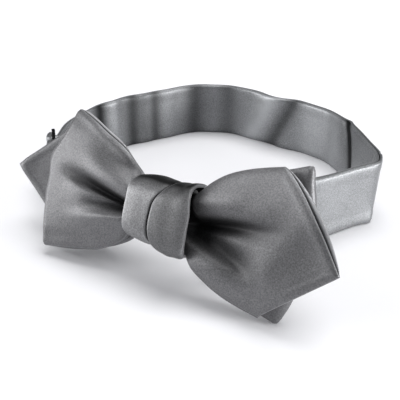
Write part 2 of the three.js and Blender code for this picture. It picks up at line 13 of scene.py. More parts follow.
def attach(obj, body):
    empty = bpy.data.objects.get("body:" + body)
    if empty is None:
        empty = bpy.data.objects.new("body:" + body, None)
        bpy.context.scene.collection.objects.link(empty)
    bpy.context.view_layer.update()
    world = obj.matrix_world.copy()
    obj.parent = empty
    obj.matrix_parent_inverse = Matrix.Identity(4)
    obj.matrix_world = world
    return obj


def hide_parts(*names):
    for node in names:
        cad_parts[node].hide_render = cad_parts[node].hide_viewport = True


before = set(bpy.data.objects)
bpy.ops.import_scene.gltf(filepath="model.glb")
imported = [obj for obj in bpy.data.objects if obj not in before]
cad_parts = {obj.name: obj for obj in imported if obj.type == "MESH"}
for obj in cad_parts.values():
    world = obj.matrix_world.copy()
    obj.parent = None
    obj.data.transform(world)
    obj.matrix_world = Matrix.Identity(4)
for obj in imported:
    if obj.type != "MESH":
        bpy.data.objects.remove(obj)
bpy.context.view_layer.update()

MM = 0.001
# Place in the part's frame of the bow's middle, which the shapes are worked out from
ORIGIN = np.array([12.384, -55.646, 0.0])

# Satin strip of the bow, lengths in mm from the knot's middle, angles in degrees
STRIP_WIDTH = 49.2
FOLD_REACH = 44
FOLD_BULGE = 6.6
SHOULDER_REACH = 42.3
POINT_LENGTH = 23.6
STRIP_SLIP = 2.6
CLOTH = 1.8
FOLD_PRESS = 0.6
FOLD_PRESS_ACROSS = 0.72
FOLD_PRESS_ALONG = 0.7
LAYER_STEP = 3.6
PUFF = 4
LEAN = 25.3
TWIST = 3.8
BOW_REST = 24.238
POINT_EDGE_SLOPE = 0.68

# Its turned-in seam, a low ridge along the edges, and how much thinner the cloth is at its rim
SEAM = {"rise": 0.13, "width": 2.3, "fade": 1.5, "start": 0.6}
RIM_THINNING = 0.4
RIM_THIN_REACH = 0.5

# Its rear ply: how far it reaches past the front one and stands away behind it
PLY_OVER = 0.1
PLY_OVER_TOP = 0.8
PLY_OVER_BOTTOM = 0.4
PLY_OVER_TOP_SPAN = ((0.35, 0.6), (0.93, 1))
PLY_OVER_BOTTOM_SPAN = ((0.4, 0.7), (0.8, 1))
PLY_PARTING_TOP = 0.6
PARTING_START = 0.86
POINT_OVER = 1.3
POINT_OVER_ROWS = 16
POINT_PARTING = 1.0
POINT_PARTING_ROWS = 40
POINT_PARTING_POWER = 1.5
POINT_UPPER_POWER = 0.7
POINT_EDGE_OPENING = 1.6

# Knot: a ring squared off by its two powers, on which the under turn and then the over turn lie.
# The turns sink at the overlap line and on top, and the over turn's right edge flares to a lip
KNOT_WIDTH = 24.4
KNOT_DROP = 1.3
KNOT_TOP_POWER = 0.72
KNOT_UNDER_POWER = 0.5
KNOT_SQUARING = 0.7
KNOT_HALF = 9.4
KNOT_FRONT = 7.05
KNOT_REAR = 7.2
TURN_CLOTH = 1.1
TURN_GAP = 0.45
TURN_REACH = 3.5
TURN_SWELL = 0.5
TURN_SWELL_POWER = 0.7
TURN_DRIFT = 0.12
TURN_DRIFT_ACROSS = 9
TURN_DRIFT_ROUND = 1.3
KNOT_TOP = {"middle": 85, "spread": 40}
TOP_SINK = 0.9
TOP_SWELL = 0.7
TOP_SWELL_PLACE = {"middle": 0.3, "spread": 0.2}
LINE_SINK = 0.35
LINE_SINK_TOP = 0.75
LINE_SINK_REACH = 3
LIP_FLARE = 1.1
LIP_START = 0.5
LINE_LIFT = 0.15
LINE_LIFT_SHARE = 0.1

# Painted light and shade of the knot: painted shade on its top and over the over turn, a painted
# shadow in the gap at the overlap line and on the bow beside the knot, and painted light in front,
# on the under turn and on the turns' rims
TOP_SHADE = {"middle": 76, "spread": 40}
FRONT_LIGHT = {"middle": 26, "spread": 15}
FRONT_LIGHT_TONE = 0.16
UNDER_TONE = -0.25
UNDER_TOP_TONE = 1.5
OVER_TONE = 0.45
OVER_TOP_TONE = 0.7
GAP_OPEN = 1.5
GAP_OPEN_BELOW = 0.9
GAP_BELOW_ANGLE = 45
GAP_FADE = 0.8
RIM_PAINTED_LIGHT = 0.5
RIM_SHARE = 0.025
KNOT_SHADOW = (-0.2, 1.2)
KNOT_SHADOW_ANGLES = (-60, 15)

# Neck band, whose faces stay over its rolled lower rim up to the height of its foot
BAND_WIDTH = 25
BAND_THICKNESS = 1.8
LOOP_WIDTH = 132
LOOP_DEPTH = 121
BAND_PASS_Y = 4.471
BAND_RIM_SHADE = 0.3
BAND_SEAM = {"rise": 0.18, "width": 4, "fade": 1, "start": 0.8}
BAND_RIM_THINNING = 0.35
BAND_RIM_THIN_REACH = 0.6
BAND_GAPE_EDGE = 0.55
BAND_FOOT = 3
TAIL_LENGTH = 3

# Clasp: three bars with two slots, in which the band's ends turn with a gap all round
CLASP_BAR = 1.4
CLASP_PLATE = 1.3
CLASP_OPENING = 22
CLASP_TURN = 45
GAP = 0.3


def table(names, *rows):
    """Columns of a short table by their names."""
    return dict(zip(names.split(), np.array(rows, dtype=float).T))


# How far each fold bulges outward by the place across the strip, as a share of FOLD_BULGE
LEFT_FOLD_END = table(
    "across out",
    (-1, 0.08), (-0.5, 0.42), (-0.25, 0.6), (0, 0.7), (0.22, 0.9),
    (0.34, 0.86), (0.5, 0.6), (0.75, 0.33), (1, 0.12),
)
RIGHT_FOLD_END = table(
    "across out",
    (-1, 0.05), (-0.67, 0.45), (0, 0.75), (0.52, 0.58), (0.8, 0.28), (1, 0.1),
)

# Each layer on each wing from the knot's middle to its end: heights are shares of half the strip's
# width, edge is the depth in layer steps and crown is how far the middle stands proud, in puffs
LAYER_COLUMNS = "along top bottom edge crown"
RIGHT_FRONT = table(
    LAYER_COLUMNS,
    (0, 0.31, 0.35, 0.6, 0.8),
    (0.24, 0.33, 0.37, 0.6, 0.8),
    (0.31, 0.37, 0.42, 0.6, 0.85),
    (0.4, 0.53, 0.58, 0.6, 0.95),
    (0.52, 0.67, 0.7, 0.6, 1),
    (0.68, 0.78, 0.8, 0.7, 0.9),
    (0.85, 0.86, 0.87, 0.85, 0.65),
    (1, 0.915, 0.91, 1.05, 0.4),
)
RIGHT_MIDDLE = table(
    LAYER_COLUMNS,
    (0, 0.31, 0.35, 0, 0.35),
    (0.22, 0.33, 0.37, 0, 0.35),
    (0.29, 0.37, 0.42, -0.05, 0.35),
    (0.37, 0.51, 0.57, -0.15, 0.32),
    (0.5, 0.65, 0.7, -0.3, 0.25),
    (0.65, 0.75, 0.8, -0.38, 0.2),
    (0.8, 0.85, 0.88, -0.43, 0.1),
    (1, 0.985, 0.976, -0.45, 0),
)
RIGHT_BACK = table(
    LAYER_COLUMNS,
    (0, 0.31, 0.35, -0.6, -0.2),
    (0.22, 0.33, 0.37, -0.62, -0.2),
    (0.29, 0.37, 0.42, -0.7, -0.22),
    (0.37, 0.51, 0.57, -0.85, -0.28),
    (0.5, 0.65, 0.7, -1.2, -0.4),
    (0.65, 0.75, 0.8, -1.25, -0.35),
    (0.8, 0.85, 0.88, -1.28, -0.2),
    (1, 0.985, 0.976, -1.3, 0),
)
LEFT_FRONT = table(
    LAYER_COLUMNS,
    (0, 0.31, 0.35, 0.6, 0.8),
    (0.24, 0.33, 0.36, 0.6, 0.8),
    (0.3, 0.44, 0.53, 0.62, 0.8),
    (0.45, 0.635, 0.73, 0.7, 0.85),
    (0.66, 0.78, 0.85, 0.75, 0.8),
    (0.84, 0.91, 0.93, 0.85, 0.55),
    (1, 1, 1, 0.95, 0.3),
)
LEFT_MIDDLE = table(
    LAYER_COLUMNS,
    (0, 0.31, 0.35, 0, 0.35),
    (0.24, 0.33, 0.36, 0, 0.35),
    (0.31, 0.42, 0.52, 0, 0.3),
    (0.45, 0.57, 0.7, -0.05, 0.18),
    (0.66, 0.72, 0.83, -0.05, 0.18),
    (0.85, 0.86, 0.92, 0, 0.1),
    (1, 1, 1, 0.1, 0),
)
LEFT_BACK = table(
    LAYER_COLUMNS,
    (0, 0.31, 0.35, -0.6, -0.2),
    (0.22, 0.33, 0.36, -0.65, -0.2),
    (0.36, 0.41, 0.55, -0.85, -0.1),
    (0.55, 0.61, 0.72, -1.15, 0),
    (0.75, 0.77, 0.84, -1.05, 0),
    (0.9, 0.89, 0.92, -0.6, 0),
    (1, 0.98, 0.96, -0.1, 0),
)

# Pleats out from the knot: start and end along the bow, low and high at these ends, depth (a ridge
# when negative), hold before it fades, width at the start and spread at the end, how much wider each
# side is, softness from a creased bottom to a round one, and how much painted shade its crease gets
PLEAT_COLUMNS = "start low end high depth hold width spread above below soft dark"
RIGHT_PLEATS = table(
    PLEAT_COLUMNS,
    (0.2, -0.08, 1.12, 0.22, 1.35, 0.25, 0.5, 0.95, 0.8, 1.3, 0, 1),
    (0.2, -0.17, 0.97, -0.47, 1, 0.45, 0.52, 1.1, 1.7, 0.82, 1, 0.88),
    (0.6, 0, 1.5, -0.12, 0.25, 0.5, 1.3, 2.2, 1, 1, 1, 0.25),
    (0.24, -0.5, 0.9, -0.78, -0.6, 0.1, 0.9, 1.5, 1, 1, 1, 0),
    (0.2, 0.2, 1, 0.6, -0.4, 0, 0.9, 2, 1, 1, 1, 0),
)
LEFT_PLEATS = table(
    PLEAT_COLUMNS,
    (0.24, -0.13, 0.74, -0.23, 1, 0.1, 0.3, 0.36, 1, 0.9, 0, 1),
    (0.26, -0.11, 1.1, 0.16, 1, 0.2, 0.26, 0.75, 1.3, 0.7, 0.9, 1),
    (0.28, 0.1, 1.05, 0.55, -0.35, 0, 0.7, 1.5, 1, 1, 1, 0),
    (0.24, -0.26, 1, -0.55, -0.42, 0.2, 0.5, 0.9, 0.8, 1.6, 1, 0),
    (0.26, 0.36, 0.9, 0.64, 0.25, 0.1, 0.5, 1, 1, 1, 1, 0.35),
)
CREASE_ROUND = 0.8
SHADOW_SPREAD = 1.3
SHADOW_GAIN = 2.6
PLEAT_START = 0.08
PLEAT_FULL = 0.3
PLEAT_END = 0.85

# Small waves of the cloth: size in mm, turns across and along it, phase, and shifts by the wing
GATHERS = ((0.07, 15, 0.1, 0, 1), (0.03, 25, -0.13, 2, 1))
DENTS = ((0.14, 5, 0.19, 0, 1),)
DENT_BREAKS = ((1, 3.1, 0.11, 1, 0),)
SMALL_DENTS = ((0.06, -6.5, 0.43, 0, 2),)
WING_SHIFT = 0.7
GATHERS_FULL = 10
GATHERS_REACH = 7
DENTS_BEGIN = (12, 26)

LAYERS = {
    "front": {"right": RIGHT_FRONT, "left": LEFT_FRONT, "pleats": 1, "point": "right"},
    "middle": {"right": RIGHT_MIDDLE, "left": LEFT_MIDDLE, "pleats": 0.55, "point": None},
    "back": {"right": RIGHT_BACK, "left": LEFT_BACK, "pleats": 0, "point": "left"},
}
# Each pointed end: how its two edges differ in reach, its lift and drop at the tip, and its bend
TIPS = {
    "right": {"above": -0.06, "below": 0.03, "lift": 0.07, "drop": 0.1, "round": 0.74},
    "left": {"above": 0.07, "below": -0.29, "lift": 0, "drop": 0.01, "round": 1},
}

# Knot's edges and overlap line by the angle round the bow, 0 in front and 90 on top
KNOT_TURN = table(
    "angle left right line flare",
    (-90, -0.3, 0.44, 0.18, 0),
    (-60, -0.38, 0.55, 0.15, 0),
    (-35, -0.44, 0.57, 0.07, 0),
    (0, -0.475, 0.56, 0.0, 0),
    (35, -0.5, 0.49, 0.1, 0.4),
    (60, -0.46, 0.46, 0.16, 1),
    (90, -0.42, 0.43, 0.16, 1),
    (135, -0.36, 0.4, 0.12, 0.2),
    (180, -0.34, 0.38, 0.1, 0),
    (225, -0.32, 0.38, 0.12, 0),
    (270, -0.3, 0.44, 0.18, 0),
)

# Rows of the neck band from the clasp's front bar, through the knot and round to its rear bar
BAND_ROWS = table(
    "across behind lift lean rake height open",
    (-0.527, 0.107, 0.08, -4, 0, 0.9, 0),
    (-0.45, 0.042, 0.09, -10, 0, 0.94, 0),
    (-0.33, 0.02, 0.18, -16, 0, 0.94, 0),
    (-0.17, 0.018, 0.38, -22, 0, 0.84, 0),
    (-0.065, 0, 0.6, -25.3, 0, 0.52, 0),
    (0.07, 0, 0.6, -25.3, 0, 0.52, 0),
    (0.125, 0.033, 0.42, -22, 0, 0.78, 0),
    (0.178, 0.11, 0.24, -14, 0, 0.92, 0),
    (0.216, 0.25, 0.11, -5, 0, 1, 0),
    (0.25, 0.38, 0.02, 0, 0, 1, 0.1),
    (0.293, 0.5, 0, 0, 0.05, 1, 0.3),
    (0.324, 0.575, 0, 0, 0.26, 1, 1),
    (0.316, 0.61, 0, 7, 0.26, 1, 1.3),
    (0.292, 0.64, 0, 14, 0.15, 1, 1),
    (0.24, 0.71, 0, 11, 0.08, 1, 0.4),
    (0.133, 0.855, 0, 3, 0, 1, 0),
    (0.03, 0.942, 0, 0, 0, 1, 0),
    (-0.062, 0.975, 0, 0, 0, 1, 0),
    (-0.18, 0.972, 0, 0, 0, 1, 0),
    (-0.3, 1, 0, 0, 0, 1, 0),
    (-0.4, 0.995, 0, 0, 0, 1, 0),
    (-0.5, 0.945, 0, 0, 0, 1, 0),
    (-0.556, 0.862, 0, 0, 0, 1, 0),
    (-0.6, 0.745, 0, 0, 0, 1, 0),
    (-0.645, 0.635, 0, 0, 0, 1, 0),
    (-0.66, 0.52, 0, 0, 0, 1, 0),
    (-0.655, 0.41, 0.03, 0, 0, 0.96, 0),
    (-0.64, 0.31, 0.065, 0, 0, 0.9, 0),
)
CLASP_PLACE = {"across": -0.598, "behind": 0.197}

# Soft ripples of the band by row number: out as a share of its width, reach and slant over its
# height in rows, and the painted tone on its inner face, painted shade in a hollow and painted light
# where it stands in
BAND_RIPPLES = table(
    "row out reach slant dark",
    (14.75, 0.035, 0.15, -0.67, 1.2),
    (15, 0, 0.25, -0.6, 0.15),
    (15.6, -0.01, 0.3, 0, -0.2),
    (16.7, -0.03, 0.6, 0, -0.18),
    (17.85, 0.04, 0.3, 0.8, 0.7),
    (18.65, -0.035, 0.4, 0.8, -0.48),
    (20.05, 0.02, 0.36, 0, 0.45),
    (20.6, -0.012, 0.2, 0, 0),
    (21.3, 0.01, 0.5, 0, 0.68),
    (22.3, -0.022, 0.3, 0, 0.05),
    (22.88, 0.015, 0.24, 0, 0.75),
    (23.25, 0, 0.16, 0, 0.3),
    (23.7, 0.02, 0.32, 0, 0.85),
    (24.45, -0.025, 0.26, 0, -0.1),
    (25.1, 0.02, 0.34, 0, 0.95),
)

# Fineness of the meshes
ACROSS_COLUMNS = 61
WING_ROWS = 84
FOLD_STEPS = 10
KNOT_STEPS = 160
TURN_COLUMNS = 31
BAND_STEPS = 22
BAND_COLUMNS = 21
EDGE_CLOSER = 0.22
END_CLOSER = 0.28
END_POWER = 2.2
TURN_EDGE_CLOSER = 0.4

# Points over a two-ply edge from its front rim to its rear rim: share is the way through the
# cloth's thickness, depth adds to it in mm, stand is how far out of the edge it lies in mm,
# reach is a share of how far the rear ply stands past the front one, and painted_tone is painted
# light on the rims and painted shadow in the groove between the plies, from 1 to -1
EDGE_COLUMNS = "share depth stand reach worn"
CLOSED_EDGE = table(
    EDGE_COLUMNS,
    (0, 0.14, 0.22, 0, 0.3),
    (0, 0.38, 0.32, 0, 0.45),
    (0, 0.6, 0.2, 0, 0.2),
    (0.44, 0, -0.12, 0.4, -0.7),
    (0.5, 0, -0.26, 0.5, -1),
    (0.56, 0, -0.12, 0.6, -0.7),
    (1, -0.6, 0.2, 1, 0.2),
    (1, -0.38, 0.32, 1, 0.45),
    (1, -0.14, 0.22, 1, 0.3),
)
# The rear ply stands away behind a channel and rolls forward at its rim
PARTED_EDGE = table(
    EDGE_COLUMNS,
    (0, 0.14, 0.22, 0, 0.4),
    (0, 0.4, 0.33, 0, 0.6),
    (0, 0.62, 0.2, 0, 0.1),
    (0.4, 0, -0.5, 0, -1),
    (0.58, 0, -0.3, 0.2, -1),
    (0.55, 0, 0.05, 0.5, 0.1),
    (0.5, 0, 0.2, 0.75, 0.7),
    (0.55, 0, 0.3, 1, 1),
    (0.85, 0, 0.28, 1, 0.9),
)
# The two plies stand apart with a deep gap between them
GAPING_EDGE = table(
    EDGE_COLUMNS,
    (0, 0.14, 0.22, 0, 0.2),
    (0, 0.4, 0.33, 0, 0.3),
    (0, 0.66, 0.15, 0, 0),
    (0.08, 0.66, -1.4, 0, -1),
    (0.5, 0, -2.6, 0, -1),
    (0.92, -0.66, -1.4, 1, -1),
    (1, -0.66, 0.15, 1, 0),
    (1, -0.4, 0.33, 1, 0.3),
    (1, -0.14, 0.22, 1, 0.2),
)
EDGE_ROLL = CLOSED_EDGE["stand"].max()
PROFILE_STEP = 0.2

# Satin
SATIN_METALLIC = 0.7
SATIN_SPECULAR = 0.6
SATIN_SHEEN = 0.12
SHEEN_ROUGHNESS = 0.35
SATIN_GLOSS = (0.36, 0.5)
CREASE_SHADE = 0.06
PAINTED_LIGHT_STRENGTH = 2.4
SLOW_SCALE = 55.0
GRAIN_SCALE = 2300.0
GRAIN_SHARE = 0.75
GRAIN_STOPS = (0.35, 0.65)
GRAIN_TONES = (0.7, 1.3)
NOISE_SKEW = 0.7
WEAVE_SCALE = 1500.0
WEAVE_WAVER = 1.5
WEAVE_SHARE = 0.4
BUMP_STRENGTH = 0.35
BUMP_DEPTH = 0.00012
# Colour, place in the noise, and how far the gloss is drawn out, by slot. The knot's and the band's
# colours are set lighter than the bow's as painted light
SATINS = {
    "bow_satin": ((0.15, 0.15, 0.155), 0.0, 0.3),
    "knot_satin": ((0.22, 0.221, 0.226), 3.1, 0.5),
    "band_satin": ((0.25, 0.256, 0.264), 6.3, 0.6),
}

# Clasp's dark plate
PLATE_METALLIC = 0.9
PLATE_GLOSS = (0.25, 0.45)
PLATE_SCALE = 900.0
PLATE_COLOURS = ((0.012, 0.012, 0.013, 1), (0.04, 0.04, 0.043, 1))

# Stage, with lights in metres and watts
TABLE_SIZE = 20
TABLE_COLOUR = (0.88, 0.88, 0.9, 1)
TABLE_ROUGHNESS = 0.7
ROOM_COLOUR = (0.95, 0.96, 1, 1)
ROOM_STRENGTH = 0.32
LIGHTS = (
    {"name": "key", "place": (-1.7, -1.4, 1.0), "target": (0, 0, 0), "size": 1.8, "power": 24},
    {"name": "low", "place": (-2.0, -0.9, 0.35), "target": (0, 0, 0.02), "size": 0.8, "power": 12},
    {"name": "top", "place": (0.1, 0.5, 2.2), "target": (0, 0, 0), "size": 1.8, "power": 40},
    {"name": "side", "place": (2.0, 0.45, 0.32), "target": (0.05, 0, 0.02), "size": 0.9, "power": 44},
)

# Camera, its place from the bow's middle in mm
CAMERA_AZIMUTH = 33.71
CAMERA_ELEVATION = 26.33
CAMERA_PLACE = (121.9, -163.76, 128.52)
CAMERA_SENSOR = 36
CAMERA_LENS = 63.02
CAMERA_CLIP = 0.01


def smooth(value, low, high):
    """Rises smoothly from 0 at the low value to 1 at the high one."""
    t = np.clip((value - low) / (high - low), 0, 1)
    return t * t * (3 - 2 * t)


def bell(value, middle, spread):
    """Is 1 in the middle and dies out on both sides."""
    return np.exp(-(((value - middle) / spread) ** 2))


def sample(rows, key, at, column):
    """Value of a table's column between its rows, on a smooth curve through them."""
    x, y = rows[key], rows[column]
    slopes = np.empty_like(y)
    slopes[1:-1] = (y[2:] - y[:-2]) / (x[2:] - x[:-2])
    slopes[0] = (y[1] - y[0]) / (x[1] - x[0])
    slopes[-1] = (y[-1] - y[-2]) / (x[-1] - x[-2])
    i = np.clip(np.searchsorted(x, at, side="left") - 1, 0, len(x) - 2)
    step = x[i + 1] - x[i]
    t = np.clip((at - x[i]) / step, 0, 1)
    t2, t3 = t * t, t * t * t
    return (
        y[i] * (2 * t3 - 3 * t2 + 1)
        + slopes[i] * step * (t3 - 2 * t2 + t)
        + y[i + 1] * (3 * t2 - 2 * t3)
        + slopes[i + 1] * step * (t3 - t2)
    )


def unit(vectors):
    return vectors / np.maximum(np.linalg.norm(vectors, axis=-1, keepdims=True), 1e-9)


def bow_points(along, up, out):
    """Points of the leaning, slightly twisted bow: along it, up its face and out in front."""
    lean = np.radians(LEAN - TWIST * along / FOLD_REACH)
    y = up * np.sin(lean) - out * np.cos(lean)
    z = up * np.cos(lean) + out * np.sin(lean) + BOW_REST
    return np.stack(np.broadcast_arrays(along, y, z), axis=-1)


def edge_points(outer, inner, stand, over=0.0, parted=0.0, parted_edge=PARTED_EDGE):
    """Points over a two-ply edge, from its outer face's rim to its inner face's rim, and its painted tone.

    over is how far the inner ply reaches past the outer one, and parted how open the edge is. The
    fourth number of each point is its painted tone, from -1 for painted shadow in the groove to 1 for a
    painted highlight on the rim.
    """
    over = np.broadcast_to(np.asarray(over, dtype=float)[..., None], (len(outer), 1))
    parted = np.broadcast_to(np.asarray(parted, dtype=float)[..., None], (len(outer), 1))
    through = inner - outer - stand * over
    deep = np.linalg.norm(through, axis=-1)[..., None]
    through = through / deep
    points = []
    for k in range(len(CLOSED_EDGE["share"])):
        share, depth, out, reach, painted_tone = (
            CLOSED_EDGE[name][k] * (1 - parted) + parted_edge[name][k] * parted
            for name in EDGE_COLUMNS.split()
        )
        place = outer + through * (deep * share + depth) + stand * (out + reach * over)
        points.append(np.concatenate([place, painted_tone], axis=-1))
    return np.stack(points, axis=-2)


def with_tone(face, dark):
    """A face's points with their painted tone as a fourth number, from -1 for painted shade to 1 for
    painted light.
    """
    return np.concatenate([face, -np.broadcast_to(dark, face.shape[:2])[..., None]], axis=-1)


def weave_map(cloth, profile):
    """Places in the flat cloth, across and along it, of the points of a piece's rings."""
    beyond = np.stack([np.arange(1, profile + 1) * PROFILE_STEP, np.zeros(profile)], axis=-1)
    top = cloth[:, -1:] + beyond
    bottom = cloth[:, :1] - beyond
    return np.concatenate([cloth, top, cloth[:, ::-1], bottom[:, ::-1]], axis=1)


def shell_mesh(name, cloth, outer, inner, top, bottom, caps=None, dark=0.0, inner_dark=0.0):
    """Closed cloth piece from rows of points on its two faces and over its two long edges.

    cloth holds their places in the flat cloth, and caps the points over its two ends; without caps
    the last row joins the first. The darks are the painted shade on its two faces, from 0 to 1,
    and are negative where painted light is put on them.
    """
    rows, columns = outer.shape[:2]
    profile = top.shape[1]
    outer = with_tone(outer, dark)
    inner = with_tone(inner, inner_dark)
    ring = np.concatenate([outer, top, inner[:, ::-1], bottom[:, ::-1]], axis=1)
    count = ring.shape[1]
    at = np.arange(rows * count).reshape(rows, count)
    points = [ring.reshape(-1, 4)]
    following = np.roll(at, -1, axis=0) if caps is None else at[1:]
    here = at if caps is None else at[:-1]
    corners = [here, np.roll(here, -1, axis=1), np.roll(following, -1, axis=1), following]
    quads = [np.stack(corners, axis=-1).reshape(-1, 4)]
    weaves = [weave_map(cloth, profile).reshape(-1, 2)]
    used = rows * count
    for row, cap in zip((0, rows - 1), caps or ()):
        grid = np.empty((columns, profile + 2), dtype=int)
        ids = at[row]
        grid[:, 0] = ids[:columns]
        grid[:, -1] = ids[columns + profile:2 * columns + profile][::-1]
        grid[-1, 1:-1] = ids[columns:columns + profile]
        grid[0, 1:-1] = ids[2 * columns + profile:][::-1]
        inside = cap[1:-1]
        grid[1:-1, 1:-1] = used + np.arange(inside.shape[0] * profile).reshape(-1, profile)
        points.append(inside.reshape(-1, 4))
        used += inside.shape[0] * profile
        faces = np.stack([grid[:-1, :-1], grid[:-1, 1:], grid[1:, 1:], grid[1:, :-1]], axis=-1)
        if row:
            faces = faces[..., ::-1]
        quads.append(faces.reshape(-1, 4))
        ahead = np.arange(1, profile + 1)[None, :, None] * np.array([0, PROFILE_STEP])
        weaves.append((cloth[row, 1:-1, None] + ahead).reshape(-1, 2))
    points, quads, weaves = np.concatenate(points), np.concatenate(quads), np.concatenate(weaves)
    places = (points[:, :3] + ORIGIN) * MM
    a, b, c, d = (places[quads[:, k]] for k in range(4))
    if sum(np.sum(a * np.cross(near, far)) for near, far in ((b, c), (c, d))) < 0:
        quads = quads[:, ::-1]
    mesh = bpy.data.meshes.new(name)
    mesh.from_pydata(places.tolist(), [], quads.tolist())
    mesh.uv_layers.new(name="weave").data.foreach_set("uv", (weaves[quads] * MM).ravel())
    # Painted shade and painted light go onto the mesh as two point attributes
    for tone, sign in (("crease", -1), ("painted_light", 1)):
        values = np.maximum(sign * points[:, 3], 0)
        mesh.attributes.new(tone, "FLOAT", "POINT").data.foreach_set("value", values)
    mesh.validate()
    mesh.shade_smooth()
    piece = bpy.data.objects.new(name, mesh)
    bpy.context.scene.collection.objects.link(piece)
    return piece


def fold_depths(side):
    """Depths of the two layers that a wing's fold joins, at the fold."""
    near, far = (RIGHT_MIDDLE, RIGHT_BACK) if side > 0 else (LEFT_FRONT, LEFT_MIDDLE)
    return near["edge"][-1] * LAYER_STEP, far["edge"][-1] * LAYER_STEP


def pleat_depth(pleats, along, up):
    """Depth of the pleats, and the painted shade in their creases from 0 to 1."""
    depth = np.zeros(np.broadcast(along, up).shape)
    dark = np.zeros_like(depth)
    half = STRIP_WIDTH / 2
    for k in range(len(pleats["start"])):
        pleat = {column: values[k] for column, values in pleats.items()}
        run = (pleat["end"] - pleat["start"]) * FOLD_REACH
        rise = (pleat["high"] - pleat["low"]) * half
        ahead = along - pleat["start"] * FOLD_REACH
        above = up - pleat["low"] * half
        t = np.clip((ahead * run + above * rise) / (run**2 + rise**2), 0, 1)
        offset = above - rise * t
        width = (pleat["width"] + (pleat["spread"] - pleat["width"]) * t) * LAYER_STEP
        width = width * np.where(offset > 0, pleat["above"], pleat["below"])
        creased = np.exp(-(np.hypot(offset, CREASE_ROUND) - CREASE_ROUND) / width)
        rounded = bell(offset, 0, width)
        form = creased + (rounded - creased) * pleat["soft"]
        left = 1 - smooth(t, pleat["hold"], 1)
        depth = depth + pleat["depth"] * LAYER_STEP * left * form
        shadow = left * rounded ** (1 / SHADOW_SPREAD)
        dark = np.maximum(dark, pleat["dark"] * (1 - np.exp(-SHADOW_GAIN * shadow)))
    begun = smooth(along, PLEAT_START * FOLD_REACH, PLEAT_FULL * FOLD_REACH)
    return depth * begun, dark


def pressed(along, across):
    """How far the two layers of a fold are pressed together, which they are at its corners."""
    across = np.abs(across)
    return FOLD_PRESS * smooth(across, FOLD_PRESS_ACROSS, 1) * smooth(along, FOLD_PRESS_ALONG, 1)


def layer_reach(pointed, side, across):
    """How far a layer reaches along the bow to its fold or pointed end."""
    if not pointed:
        rows = RIGHT_FOLD_END if side > 0 else LEFT_FOLD_END
        bulge = FOLD_BULGE * sample(rows, "across", across, "out")
        near, far = fold_depths(side)
        return FOLD_REACH + bulge - (near - far) / 2 * (1 - pressed(1, across))
    tip = TIPS["right" if side > 0 else "left"]
    shift = np.where(across > 0, tip["above"], tip["below"])
    middle = 1 - np.abs(across)
    point = np.where(across > 0, middle ** tip["round"], middle)
    return SHOULDER_REACH - side * STRIP_SLIP + POINT_LENGTH * (point + shift * np.abs(across))


def knot_shadow(side, along, up):
    """How dark the cloth is close beside the knot's edge, from 0 to 1."""
    angles = np.degrees(np.arcsin(np.clip((up + KNOT_DROP) / KNOT_HALF, -1, 1)))
    edge = np.abs(sample(KNOT_TURN, "angle", angles, "right" if side > 0 else "left")) * KNOT_WIDTH
    return (1 - smooth(along - edge, *KNOT_SHADOW)) * smooth(angles, *KNOT_SHADOW_ANGLES)


def layer_place(layer, side, along, across):
    """Along, up and out of a layer's middle surface, its distance to the sewn edges, and its painted
    shade.
    """
    wing = "right" if side > 0 else "left"
    rows = layer[wing]
    pointed = layer["point"] == wing
    tip = TIPS[wing]
    corner = np.where(
        across > 0, sample(rows, "along", along, "top"), sample(rows, "along", along, "bottom")
    )
    middle = 1 - np.abs(across)
    reach = layer_reach(pointed, side, across)
    u = along * reach
    drop = tip["drop"] * POINT_LENGTH * along**2 * middle if pointed else 0
    up = corner * across * STRIP_WIDTH / 2 - KNOT_DROP * (1 - along) - drop
    reached = u / (SHOULDER_REACH + POINT_LENGTH) if pointed else along + 0 * across
    edge = sample(rows, "along", reached, "edge") * LAYER_STEP
    crown = sample(rows, "along", reached, "crown") * PUFF * (1 - across**2)
    lift = tip["lift"] * POINT_LENGTH * along**3 * middle if pointed else 0
    fade = 1 if pointed else 1 - smooth(along, PLEAT_END, 1)
    pleats, dark = pleat_depth(RIGHT_PLEATS if side > 0 else LEFT_PLEATS, u, up)
    uneven = unevenness(side, u, across) - pleats
    out = edge + crown + lift + uneven * layer["pleats"] * fade
    if not pointed:
        out = out + (sum(fold_depths(side)) / 2 - out) * pressed(along, across)
    from_edge = middle * corner * STRIP_WIDTH / 2
    if pointed:
        from_edge = np.minimum(from_edge, (1 - along) * reach * POINT_EDGE_SLOPE)
    dark = np.maximum(dark, knot_shadow(side, u, up)) * (layer["pleats"] == 1)
    return side * u, up, out, from_edge, dark


def unevenness(side, along, across):
    """Fine gathers that die out away from the knot, and slow dents further out."""
    def waves(rows):
        return sum(
            size * np.sin(turns * across + runs * along + phase + shifts * WING_SHIFT * side)
            for size, turns, runs, phase, shifts in rows
        )

    near = np.exp(-np.maximum(along - GATHERS_FULL, 0) / GATHERS_REACH)
    far = smooth(along, *DENTS_BEGIN)
    dents = waves(DENTS) * waves(DENT_BREAKS) + waves(SMALL_DENTS)
    return (waves(GATHERS) * near + dents * far) * (1 - across**4)


def across_stops():
    """Places across the strip from its lower edge at -1 to its upper edge at 1, closest near them."""
    t = np.linspace(-1, 1, ACROSS_COLUMNS)
    return t + EDGE_CLOSER * (np.sin(t * math.pi / 2) - t)


def wing_stops():
    """Shares along a wing from its end to the knot's middle, closest near the end."""
    t = np.linspace(0, 1, WING_ROWS)
    return 1 - t - END_CLOSER * (t**END_POWER - t)


